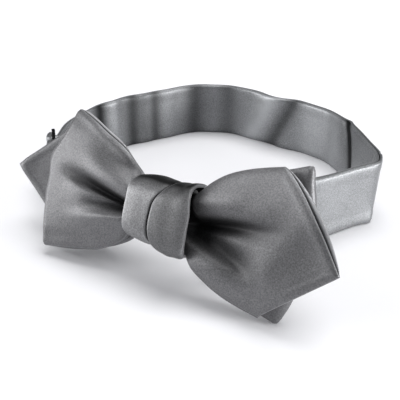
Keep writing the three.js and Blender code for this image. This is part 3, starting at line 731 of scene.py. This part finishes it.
def blade_rows():
    """Rows of the folded strip: along, up, out, distance to the edges, painted shade, facing and over."""
    across = across_stops()[None, :]
    order = [("front", 1, 1), ("middle", -1, -1), ("back", 1, 1)]
    parts = []
    for k, (name, side, facing) in enumerate(order):
        layer = LAYERS[name]
        stops = wing_stops()[:, None]
        leaving = layer_place(layer, side, stops, across)
        arriving = layer_place(layer, -side, stops[-2::-1], across)
        size = leaving[0].shape[0] + arriving[0].shape[0]
        u, up, out, rim, dark = (np.concatenate(pair) for pair in zip(leaving, arriving))
        turn_u = np.zeros_like(u)
        turn_n = np.full_like(u, facing)
        over = np.full((size, 2), PLY_OVER)
        if name == "front":
            arrived = np.concatenate([np.zeros(len(stops)), stops[-2::-1, 0]])
            reached = np.concatenate([stops[:, 0], stops[-2::-1, 0]])
            rises, ends = PLY_OVER_TOP_SPAN
            top = smooth(arrived, *rises) * (1 - smooth(arrived, *ends))
            rises, ends = PLY_OVER_BOTTOM_SPAN
            bottom = smooth(reached, *rises) * (1 - smooth(arrived, *ends))
            over += np.stack([PLY_OVER_BOTTOM * bottom, PLY_OVER_TOP * top], axis=-1)
        parts.append((u, up, out, rim, dark, turn_u, turn_n, over))
        if k == len(order) - 1:
            continue
        end = -side
        following = LAYERS[order[k + 1][0]]
        first = layer_place(layer, end, np.ones((1, 1)), across)
        second = layer_place(following, end, np.ones((1, 1)), across)
        turn = (np.arange(1, FOLD_STEPS) * math.pi / FOLD_STEPS)[:, None]
        half = (first[2] - second[2]) / 2
        u = first[0] + end * np.abs(half) * np.sin(turn)
        out = (first[2] + second[2]) / 2 + half * np.cos(turn)
        up = np.repeat(first[1], FOLD_STEPS - 1, axis=0)
        rim = np.repeat(first[3], FOLD_STEPS - 1, axis=0)
        over = np.full((FOLD_STEPS - 1, 2), PLY_OVER)
        parts.append((
            u, up, out, rim, np.zeros_like(u),
            facing * end * np.sin(turn) * np.ones_like(u),
            facing * np.cos(turn) * np.ones_like(u),
            over,
        ))
    return [np.concatenate(columns) for columns in zip(*parts)]


def flat_strip(u, up, out, turn_n):
    """Places of the strip's points in the flat cloth: across it, and along it from its front tip."""
    middle = u.shape[1] // 2
    steps = np.hypot(np.diff(u[:, middle]), np.diff(out[:, middle]))
    length = np.concatenate([[0], np.cumsum(steps)])[:, None]
    return np.stack([up, length - turn_n * (u - u[:, middle:middle + 1])], axis=-1)


def end_stand(row, inner):
    """Direction out of a strip's end, in the cloth, at each point across it."""
    run = unit(np.gradient(row, axis=0))
    stand = unit(np.cross(run, unit(inner - row)))
    away = row[len(row) // 2, 0] - (row[0, 0] + row[-1, 0]) / 2
    return stand * np.sign(stand[:, :1] * away)


def half_thickness(rim, cloth, thinning, reach, seam, flat=1.0):
    """Half the cloth by the distance to its edge, thinner at its rim and thicker over its seam."""
    ridge = 1 - smooth(rim, seam["width"] - seam["fade"] / 2, seam["width"] + seam["fade"] / 2)
    ridge = ridge * seam["rise"] * smooth(rim, 0, seam["start"])
    return cloth / 2 * (1 - thinning * np.exp(-rim / reach)) + ridge * flat


def blade_piece():
    """The bow's strip, whose plies stand apart along its front pointed end's upper edge."""
    u, up, out, rim, dark, turn_u, turn_n, over = blade_rows()
    half = half_thickness(rim, CLOTH, RIM_THINNING, RIM_THIN_REACH, SEAM, turn_n**2)
    across = across_stops()
    number = np.arange(len(u))[:, None]
    upper = np.sin(math.pi * np.clip(across, 0, 1)) ** POINT_UPPER_POWER
    parted = (over[:, 1] - PLY_OVER) / PLY_OVER_TOP
    near_point = np.clip(1 - number / POINT_PARTING_ROWS, 0, 1) ** POINT_PARTING_POWER
    near_top = smooth(across, PARTING_START, 1)[None, :]
    apart = POINT_PARTING * near_point * upper[None, :] + PLY_PARTING_TOP * parted[:, None] * near_top
    outer = bow_points(u + half * turn_u, up, out + half * turn_n)
    inner = bow_points(u - half * turn_u, up, out - half * turn_n - apart)
    side = bow_points(u[:, 0], up[:, 0] + 1, out[:, 0]) - bow_points(u[:, 0], up[:, 0], out[:, 0])
    inner[:, -1] += side * over[:, 1:2]
    inner[:, 0] -= side * over[:, 0:1]
    tip_over = POINT_OVER * upper
    stand = end_stand(outer[0], inner[0])
    fade = np.clip(1 - number / POINT_OVER_ROWS, 0, 1)[..., None]
    inner = inner + stand[None] * tip_over[None, :, None] * fade
    top = edge_points(outer[:, -1], inner[:, -1], side, over[:, 1], parted)
    bottom = edge_points(outer[:, 0], inner[:, 0], -side, over[:, 0])
    caps = [
        edge_points(outer[0], inner[0], stand, tip_over, np.clip(upper * POINT_EDGE_OPENING, 0, 1)),
        edge_points(outer[-1], inner[-1], end_stand(outer[-1], inner[-1])),
    ]
    for row, cap in zip((0, -1), caps):
        cap[0], cap[-1] = bottom[row], top[row]
    cloth = flat_strip(u, up, out, turn_n)
    return shell_mesh("bow_strip", cloth, outer, inner, top, bottom, caps, dark)


def knot_surface(angles, along, grow):
    """Points of the knot at angles round the bow, a place along it and a height over its ring."""
    sine, cosine = np.sin(np.radians(angles)), np.cos(np.radians(angles))
    topness = smooth(sine, -KNOT_SQUARING, KNOT_SQUARING)
    power = KNOT_UNDER_POWER + (KNOT_TOP_POWER - KNOT_UNDER_POWER) * topness

    def rounded(value):
        return np.sign(value) * np.abs(value) ** power

    up = (KNOT_HALF + grow) * rounded(sine) - KNOT_DROP
    middle = (KNOT_FRONT - KNOT_REAR) / 2
    out = ((KNOT_FRONT + KNOT_REAR) / 2 + grow) * rounded(cosine) + middle
    return bow_points(along, up, out)


def turn_piece(name, left, right, inner_rise, outer_rise, dark):
    """One turn of the knot's strip between two edges.

    The rises are how far its faces lie over the knot's ring, by angle and by place from its left.
    """
    angles = (np.linspace(0, 360, KNOT_STEPS, endpoint=False) - 90)[:, None]
    place = np.linspace(0, 1, TURN_COLUMNS)[None, :]
    place = place + TURN_EDGE_CLOSER * ((1 - np.cos(math.pi * place)) / 2 - place)
    start, finish = left(angles), right(angles)
    along = start + (finish - start) * place
    outer = knot_surface(angles, along, outer_rise(angles, place))
    inner = knot_surface(angles, along, inner_rise(angles, place))
    top = edge_points(outer[:, -1], inner[:, -1], unit(outer[:, -1] - outer[:, -2]))
    bottom = edge_points(outer[:, 0], inner[:, 0], unit(outer[:, 0] - outer[:, 1]))
    cloth = np.stack(np.broadcast_arrays(along, np.radians(angles) * KNOT_HALF), axis=-1)
    # The knot's inner faces get full painted shade
    return shell_mesh(name, cloth, outer, inner, top, bottom, None, dark(angles, place), 1.0)


def knot_pieces():
    """The knot's two turns: the under one shows at the left, the over one lies on it."""
    def column(name, shift=0.0):
        return lambda angles: sample(KNOT_TURN, "angle", angles, name) * KNOT_WIDTH + shift

    def pillow(angles, place):
        """How far a turn swells out between its edges, a little unevenly."""
        drift = np.sin(TURN_DRIFT_ACROSS * place + TURN_DRIFT_ROUND * np.radians(angles))
        across = np.sin(math.pi * place)
        return TURN_SWELL * across**TURN_SWELL_POWER + TURN_DRIFT * drift * across

    def under_inner(angles, place):
        """The under turn's inner face lies on the knot's ring."""
        return 0 * angles * place

    def before_line(angles, place):
        """How far left of the over turn's edge a place on the under turn is, in mm."""
        start, line = column("left")(angles), column("line")(angles)
        return (line - start) * (1 - place) - TURN_REACH * place

    def under_outer(angles, place):
        on_top = bell(angles, **KNOT_TOP)
        sink = LINE_SINK + LINE_SINK_TOP * on_top
        sink = sink * (1 - smooth(before_line(angles, place), 0, LINE_SINK_REACH))
        swell = TOP_SWELL * on_top * bell(place, **TOP_SWELL_PLACE)
        return TURN_CLOTH + pillow(angles, place) + swell - sink

    def over_inner(angles, place):
        lip = LIP_FLARE * sample(KNOT_TURN, "angle", angles, "flare") * smooth(place, LIP_START, 1)
        edge = LINE_LIFT * np.exp(-place / LINE_LIFT_SHARE)
        return TURN_CLOTH + TURN_GAP - TOP_SINK * bell(angles, **KNOT_TOP) + lip + edge

    def over_outer(angles, place):
        return over_inner(angles, place) + TURN_CLOTH + pillow(angles, place)

    def painted_light(place):
        """Painted highlight on a turn's two rims."""
        return RIM_PAINTED_LIGHT * (np.exp(-place / RIM_SHARE) + np.exp((place - 1) / RIM_SHARE))

    # Painted shade on the under turn's top and painted shadow in the gap by the over turn's edge, painted
    # light on the rest
    def under_dark(angles, place):
        open_to = GAP_OPEN + GAP_OPEN_BELOW * smooth(-angles, 0, GAP_BELOW_ANGLE)
        gap = 1 - smooth(before_line(angles, place) - open_to, 0, GAP_FADE)
        return np.maximum(UNDER_TONE + UNDER_TOP_TONE * bell(angles, **TOP_SHADE), gap) - painted_light(place)

    # Painted shade over the over turn, more on its top and less in front, with painted highlights on its
    # rims
    def over_dark(angles, place):
        lit = FRONT_LIGHT_TONE * bell(angles, **FRONT_LIGHT)
        return OVER_TONE + OVER_TOP_TONE * bell(angles, **TOP_SHADE) - lit - painted_light(place)

    under = turn_piece(
        "knot_under_turn", column("left"), column("line", TURN_REACH), under_inner, under_outer, under_dark
    )
    over = turn_piece(
        "knot_over_turn", column("line"), column("right"), over_inner, over_outer, over_dark
    )
    return under, over


def catmull(points, t, centripetal):
    """Points of a smooth curve through the given ones, t from 0 to 1.

    A centripetal one keeps its form where they stand unevenly.
    """
    points = np.vstack([2 * points[0] - points[1], points, 2 * points[-1] - points[-2]])
    place = np.clip(t, 0, 1) * (len(points) - 3)
    i = np.minimum(place.astype(int), len(points) - 4)
    w = (place - i)[:, None]
    p0, p1, p2, p3 = (points[i + k] for k in range(4))
    if centripetal:
        d0, d1, d2 = (
            np.maximum(np.sum((b - a) ** 2, axis=1) ** 0.25, 1e-4)[:, None]
            for a, b in ((p0, p1), (p1, p2), (p2, p3))
        )
        t1 = ((p1 - p0) / d0 - (p2 - p0) / (d0 + d1) + (p2 - p1) / d1) * d1
        t2 = ((p2 - p1) / d1 - (p3 - p1) / (d1 + d2) + (p3 - p2) / d2) * d1
    else:
        t1, t2 = (p2 - p0) / 2, (p3 - p1) / 2
    w2, w3 = w * w, w * w * w
    return (
        p1 * (2 * w3 - 3 * w2 + 1) + t1 * (w3 - 2 * w2 + w) + p2 * (3 * w2 - 2 * w3) + t2 * (w3 - w2)
    )


def loop_place(rows):
    """Places on the table of points of the neck loop."""
    across, behind = np.asarray(rows["across"]), np.asarray(rows["behind"])
    return np.stack([across * LOOP_WIDTH, BAND_PASS_Y + behind * LOOP_DEPTH], axis=-1)


def clasp_turn(direction):
    """Route of the band's end round one of the clasp's outer bars, from its tail to its run."""
    middle = loop_place(CLASP_PLACE)
    run = np.array([-math.sin(math.radians(CLASP_TURN)), math.cos(math.radians(CLASP_TURN))])
    radius = math.hypot(CLASP_BAR, CLASP_PLATE) / 2 + GAP + BAND_THICKNESS / 2
    slot = radius + BAND_THICKNESS / 2 + GAP - CLASP_BAR / 2
    length = 3 * CLASP_BAR + 2 * slot
    bar = middle + run * direction * (length - CLASP_BAR) / 2
    away = run * direction
    inner = np.array([run[1], -run[0]])
    places = [(TAIL_LENGTH, (BAND_THICKNESS + GAP) / 2)]
    for turn in (-90, -45, 0, 45, 90):
        angle = math.radians(turn)
        places.append((-radius * math.cos(angle), -radius * math.sin(angle)))
    return [bar + away * forward - inner * aside for forward, aside in places]


def band_piece():
    """The flat tube round the neck, both ends of which turn round the clasp's outer bars."""
    places = loop_place(BAND_ROWS)
    form = np.stack(
        [
            BAND_ROWS["lift"] * BAND_WIDTH,
            BAND_ROWS["lean"],
            BAND_ROWS["rake"] * BAND_WIDTH,
            BAND_ROWS["height"] * BAND_WIDTH,
            BAND_ROWS["open"],
        ],
        axis=1,
    )
    margin = 2 * GAP
    end_form = np.array([[CLASP_BAR + margin / 2, 0, 0, CLASP_OPENING - margin, 0]])
    start, finish = clasp_turn(-1), clasp_turn(1)[::-1]
    places = np.vstack([start, places, finish])
    form = np.vstack([end_form.repeat(len(start), 0), form, end_form.repeat(len(finish), 0)])
    steps = (len(places) - 1) * BAND_STEPS
    t = np.linspace(0, 1, steps + 1)
    route = catmull(places, t, True)
    lift, lean, rake, height, opened = catmull(form, t, False).T
    tangent = unit(np.gradient(route, axis=0))
    outward = np.stack([tangent[:, 1], -tangent[:, 0]], axis=1)
    number = t * (len(places) - 1) - len(start)
    share = np.linspace(-0.5, 0.5, BAND_COLUMNS)[None, :]
    ripple = np.zeros((len(t), BAND_COLUMNS))
    dark = np.zeros_like(ripple)
    # The ripples also lay painted shade and painted light on the band's inner face
    for k in range(len(BAND_RIPPLES["row"])):
        row, out, reach, slant, shade = (BAND_RIPPLES[name][k] for name in BAND_RIPPLES)
        bump = bell(number[:, None] + slant * share, row, reach)
        ripple += out * BAND_WIDTH * bump
        dark += shade * bump
    lean = np.radians(lean)[:, None]
    height = height[:, None]
    flat = (
        route[:, None, :]
        + outward[:, None, :] * (share * height * np.sin(lean) + ripple)[..., None]
        + tangent[:, None, :] * (share * rake[:, None])[..., None]
    )
    z = np.maximum(lift, 0)[:, None] + (share + 0.5) * height * np.cos(lean)
    middle = np.concatenate([flat, z[..., None]], axis=-1)
    normal = np.zeros_like(middle)
    normal[..., :2] = outward[:, None, :]
    rim = (0.5 - np.abs(share)) * BAND_WIDTH
    half = half_thickness(rim, BAND_THICKNESS, BAND_RIM_THINNING, BAND_RIM_THIN_REACH, BAND_SEAM)
    swell = BAND_GAPE_EDGE + (1 - BAND_GAPE_EDGE) * np.cos(share * math.pi) ** 2
    opening = np.maximum(opened, 0)[:, None] * swell
    outer = middle + normal * half[..., None]
    inner = middle - normal * (half + opening)[..., None]
    for face in (outer, inner):
        heights = face[..., 2]
        face[..., 2] = np.maximum(heights, EDGE_ROLL * (1 - smooth(heights, 0, BAND_FOOT)))
    stand = unit(outer[:, -1] - outer[:, -2])
    down = unit(outer[:, 0] - outer[:, 1])
    top = edge_points(outer[:, -1], inner[:, -1], stand, 0.0, np.clip(opened, 0, 1), GAPING_EDGE)
    top[..., 2] -= EDGE_ROLL
    bottom = edge_points(outer[:, 0], inner[:, 0], down)
    for edge in (top, bottom):
        edge[..., 3] = np.minimum(edge[..., 3], -BAND_RIM_SHADE)
    caps = []
    for row, ahead in ((0, -1), (-1, 1)):
        away = np.zeros((BAND_COLUMNS, 3))
        away[:, :2] = tangent[row] * ahead
        cap = edge_points(outer[row], inner[row], away)
        cap[0], cap[-1] = bottom[row], top[row]
        caps.append(cap)
    length = np.concatenate([[0], np.cumsum(np.linalg.norm(np.diff(route, axis=0), axis=1))])
    cloth = np.stack(np.broadcast_arrays(share * BAND_WIDTH, length[:, None]), axis=-1)
    return shell_mesh("neck_tube", cloth, outer, inner, top, bottom, caps, 0.0, dark)


def node(nodes, kind, **values):
    """New shader node with its inputs or settings given by name."""
    made = nodes.new(kind)
    for name, value in values.items():
        if name in made.inputs:
            made.inputs[name].default_value = value
        else:
            setattr(made, name, value)
    return made


def new_material(name):
    """A material with its nodes, links and main shader."""
    material = bpy.data.materials.new(name)
    material.use_nodes = True
    tree = material.node_tree
    return material, tree.nodes, tree.links, tree.nodes["Principled BSDF"]


def drive(nodes, links, value, low, high, socket):
    """Takes a shader's socket from low to high as the value goes from 0 to 1."""
    ranged = nodes.new("ShaderNodeMapRange")
    ranged.inputs["To Min"].default_value = low
    ranged.inputs["To Max"].default_value = high
    links.new(value, ranged.inputs["Value"])
    links.new(ranged.outputs["Result"], socket)


def toned(shade, strength):
    """A shade made lighter or darker, as an opaque colour."""
    return (*(channel * strength for channel in shade), 1)


def satin(name, shade, seed, stretch):
    """Dark satin with painted shade and painted light, fine weave, and gloss drawn out along it."""
    material, nodes, links, shader = new_material(name)
    shader.inputs["Metallic"].default_value = SATIN_METALLIC
    shader.inputs["Anisotropic"].default_value = stretch
    shader.inputs["Sheen Roughness"].default_value = SHEEN_ROUGHNESS
    place = nodes.new("ShaderNodeTexCoord")
    moved = nodes.new("ShaderNodeMapping")
    moved.inputs["Location"].default_value = (seed, seed * NOISE_SKEW, 0)
    links.new(place.outputs["Object"], moved.inputs["Vector"])
    slow = node(nodes, "ShaderNodeTexNoise", Scale=SLOW_SCALE, Detail=3.0)
    grain = node(nodes, "ShaderNodeTexNoise", Scale=GRAIN_SCALE, Detail=2.0)
    weave = node(nodes, "ShaderNodeTexWave", Scale=WEAVE_SCALE, Distortion=WEAVE_WAVER)
    weave.bands_direction = "DIAGONAL"
    for texture in (slow, grain, weave):
        links.new(moved.outputs["Vector"], texture.inputs["Vector"])
    slow_part = node(nodes, "ShaderNodeMath", operation="MULTIPLY")
    links.new(slow.outputs["Fac"], slow_part.inputs[0])
    slow_part.inputs[1].default_value = 1 - GRAIN_SHARE
    mixed = node(nodes, "ShaderNodeMath", operation="MULTIPLY_ADD")
    links.new(grain.outputs["Fac"], mixed.inputs[0])
    mixed.inputs[1].default_value = GRAIN_SHARE
    links.new(slow_part.outputs["Value"], mixed.inputs[2])
    ramp = nodes.new("ShaderNodeValToRGB")
    for element, position, strength in zip(ramp.color_ramp.elements, GRAIN_STOPS, GRAIN_TONES):
        element.position = position
        element.color = toned(shade, strength)
    links.new(mixed.outputs["Value"], ramp.inputs["Fac"])
    colour = ramp.outputs["Color"]
    # Painted shade darkens the colour and painted light lightens it
    for tone, strength in (("crease", CREASE_SHADE), ("painted_light", PAINTED_LIGHT_STRENGTH)):
        amount = node(nodes, "ShaderNodeAttribute", attribute_name=tone)
        blend = node(nodes, "ShaderNodeMix", data_type="RGBA")
        links.new(amount.outputs["Fac"], blend.inputs["Factor"])
        links.new(colour, blend.inputs["A"])
        blend.inputs["B"].default_value = toned(shade, strength)
        colour = blend.outputs["Result"]
    links.new(colour, shader.inputs["Base Color"])
    # The painted shade also takes away specular and sheen where it lies
    crease = node(nodes, "ShaderNodeAttribute", attribute_name="crease")
    for socket, strength in (("Specular IOR Level", SATIN_SPECULAR), ("Sheen Weight", SATIN_SHEEN)):
        drive(nodes, links, crease.outputs["Fac"], strength, 0, shader.inputs[socket])
    drive(nodes, links, slow.outputs["Fac"], *SATIN_GLOSS, shader.inputs["Roughness"])
    along = node(nodes, "ShaderNodeTangent", direction_type="UV_MAP", uv_map="weave")
    links.new(along.outputs["Tangent"], shader.inputs["Tangent"])
    heights = node(nodes, "ShaderNodeMath", operation="MULTIPLY_ADD")
    links.new(weave.outputs["Fac"], heights.inputs[0])
    heights.inputs[1].default_value = WEAVE_SHARE
    links.new(grain.outputs["Fac"], heights.inputs[2])
    bump = nodes.new("ShaderNodeBump")
    bump.inputs["Strength"].default_value = BUMP_STRENGTH
    bump.inputs["Distance"].default_value = BUMP_DEPTH
    links.new(heights.outputs["Value"], bump.inputs["Height"])
    links.new(bump.outputs["Normal"], shader.inputs["Normal"])
    return material


def metal():
    """Dark plated metal of uneven gloss."""
    material, nodes, links, shader = new_material("dark_plate")
    shader.inputs["Metallic"].default_value = PLATE_METALLIC
    place = nodes.new("ShaderNodeTexCoord")
    noise = node(nodes, "ShaderNodeTexNoise", Scale=PLATE_SCALE, Detail=3.0)
    links.new(place.outputs["Object"], noise.inputs["Vector"])
    ramp = nodes.new("ShaderNodeValToRGB")
    for element, colour in zip(ramp.color_ramp.elements, PLATE_COLOURS):
        element.color = colour
    links.new(noise.outputs["Fac"], ramp.inputs["Fac"])
    links.new(ramp.outputs["Color"], shader.inputs["Base Color"])
    drive(nodes, links, noise.outputs["Fac"], *PLATE_GLOSS, shader.inputs["Roughness"])
    return material


def table_material():
    material, _, _, shader = new_material("pale_table")
    shader.inputs["Base Color"].default_value = TABLE_COLOUR
    shader.inputs["Roughness"].default_value = TABLE_ROUGHNESS
    return material


def add_camera():
    azimuth, elevation = math.radians(CAMERA_AZIMUTH), math.radians(CAMERA_ELEVATION)
    right = Vector((math.cos(azimuth), math.sin(azimuth), 0))
    forward = Vector((
        -math.sin(azimuth) * math.cos(elevation),
        math.cos(azimuth) * math.cos(elevation),
        -math.sin(elevation),
    ))
    up = right.cross(forward)
    data = bpy.data.cameras.new("camera")
    data.sensor_width = CAMERA_SENSOR
    data.lens = CAMERA_LENS
    data.clip_start = CAMERA_CLIP
    camera = bpy.data.objects.new("camera", data)
    place = (np.array(CAMERA_PLACE) + ORIGIN) * MM
    turned = Matrix((right, up, -forward)).transposed().to_4x4()
    camera.matrix_world = Matrix.Translation(place.tolist()) @ turned
    bpy.context.scene.collection.objects.link(camera)
    bpy.context.scene.camera = camera


def add_light(name, place, target, size, power):
    """A round soft light at a place, turned to its target."""
    data = bpy.data.lights.new(name, "AREA")
    data.shape = "DISK"
    data.size = size
    data.energy = power
    light = bpy.data.objects.new(name, data)
    light.location = place
    aim = Vector(target) - Vector(place)
    light.rotation_euler = aim.to_track_quat("-Z", "Y").to_euler()
    bpy.context.scene.collection.objects.link(light)


def add_stage():
    """The pale table, the room's light and the lights."""
    bpy.ops.mesh.primitive_plane_add(size=TABLE_SIZE, location=(0, 0, 0))
    floor = bpy.context.object
    floor.name = "table_top"
    floor.data.materials.append(table_material())
    world = bpy.data.worlds.new("studio")
    world.use_nodes = True
    background = world.node_tree.nodes["Background"]
    background.inputs["Color"].default_value = ROOM_COLOUR
    background.inputs["Strength"].default_value = ROOM_STRENGTH
    bpy.context.scene.world = world
    for light in LIGHTS:
        add_light(**light)
    bpy.context.scene.view_settings.view_transform = "Standard"


add_camera()
add_stage()
satins = {slot: satin(slot, *look) for slot, look in SATINS.items()}

blade = blade_piece()
under, over = knot_pieces()
band = band_piece()
for piece, node_name, slot in (
    (blade, "bow_blade", "bow_satin"),
    (under, "knot_wrap", "knot_satin"),
    (over, "knot_wrap", "knot_satin"),
    (band, "neck_band", "band_satin"),
):
    piece.data.materials.append(satins[slot])
    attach(piece, "root")
    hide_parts(node_name)

clasp = bpy.data.objects.get("band_clasp")
clasp.data.materials.clear()
clasp.data.materials.append(metal())
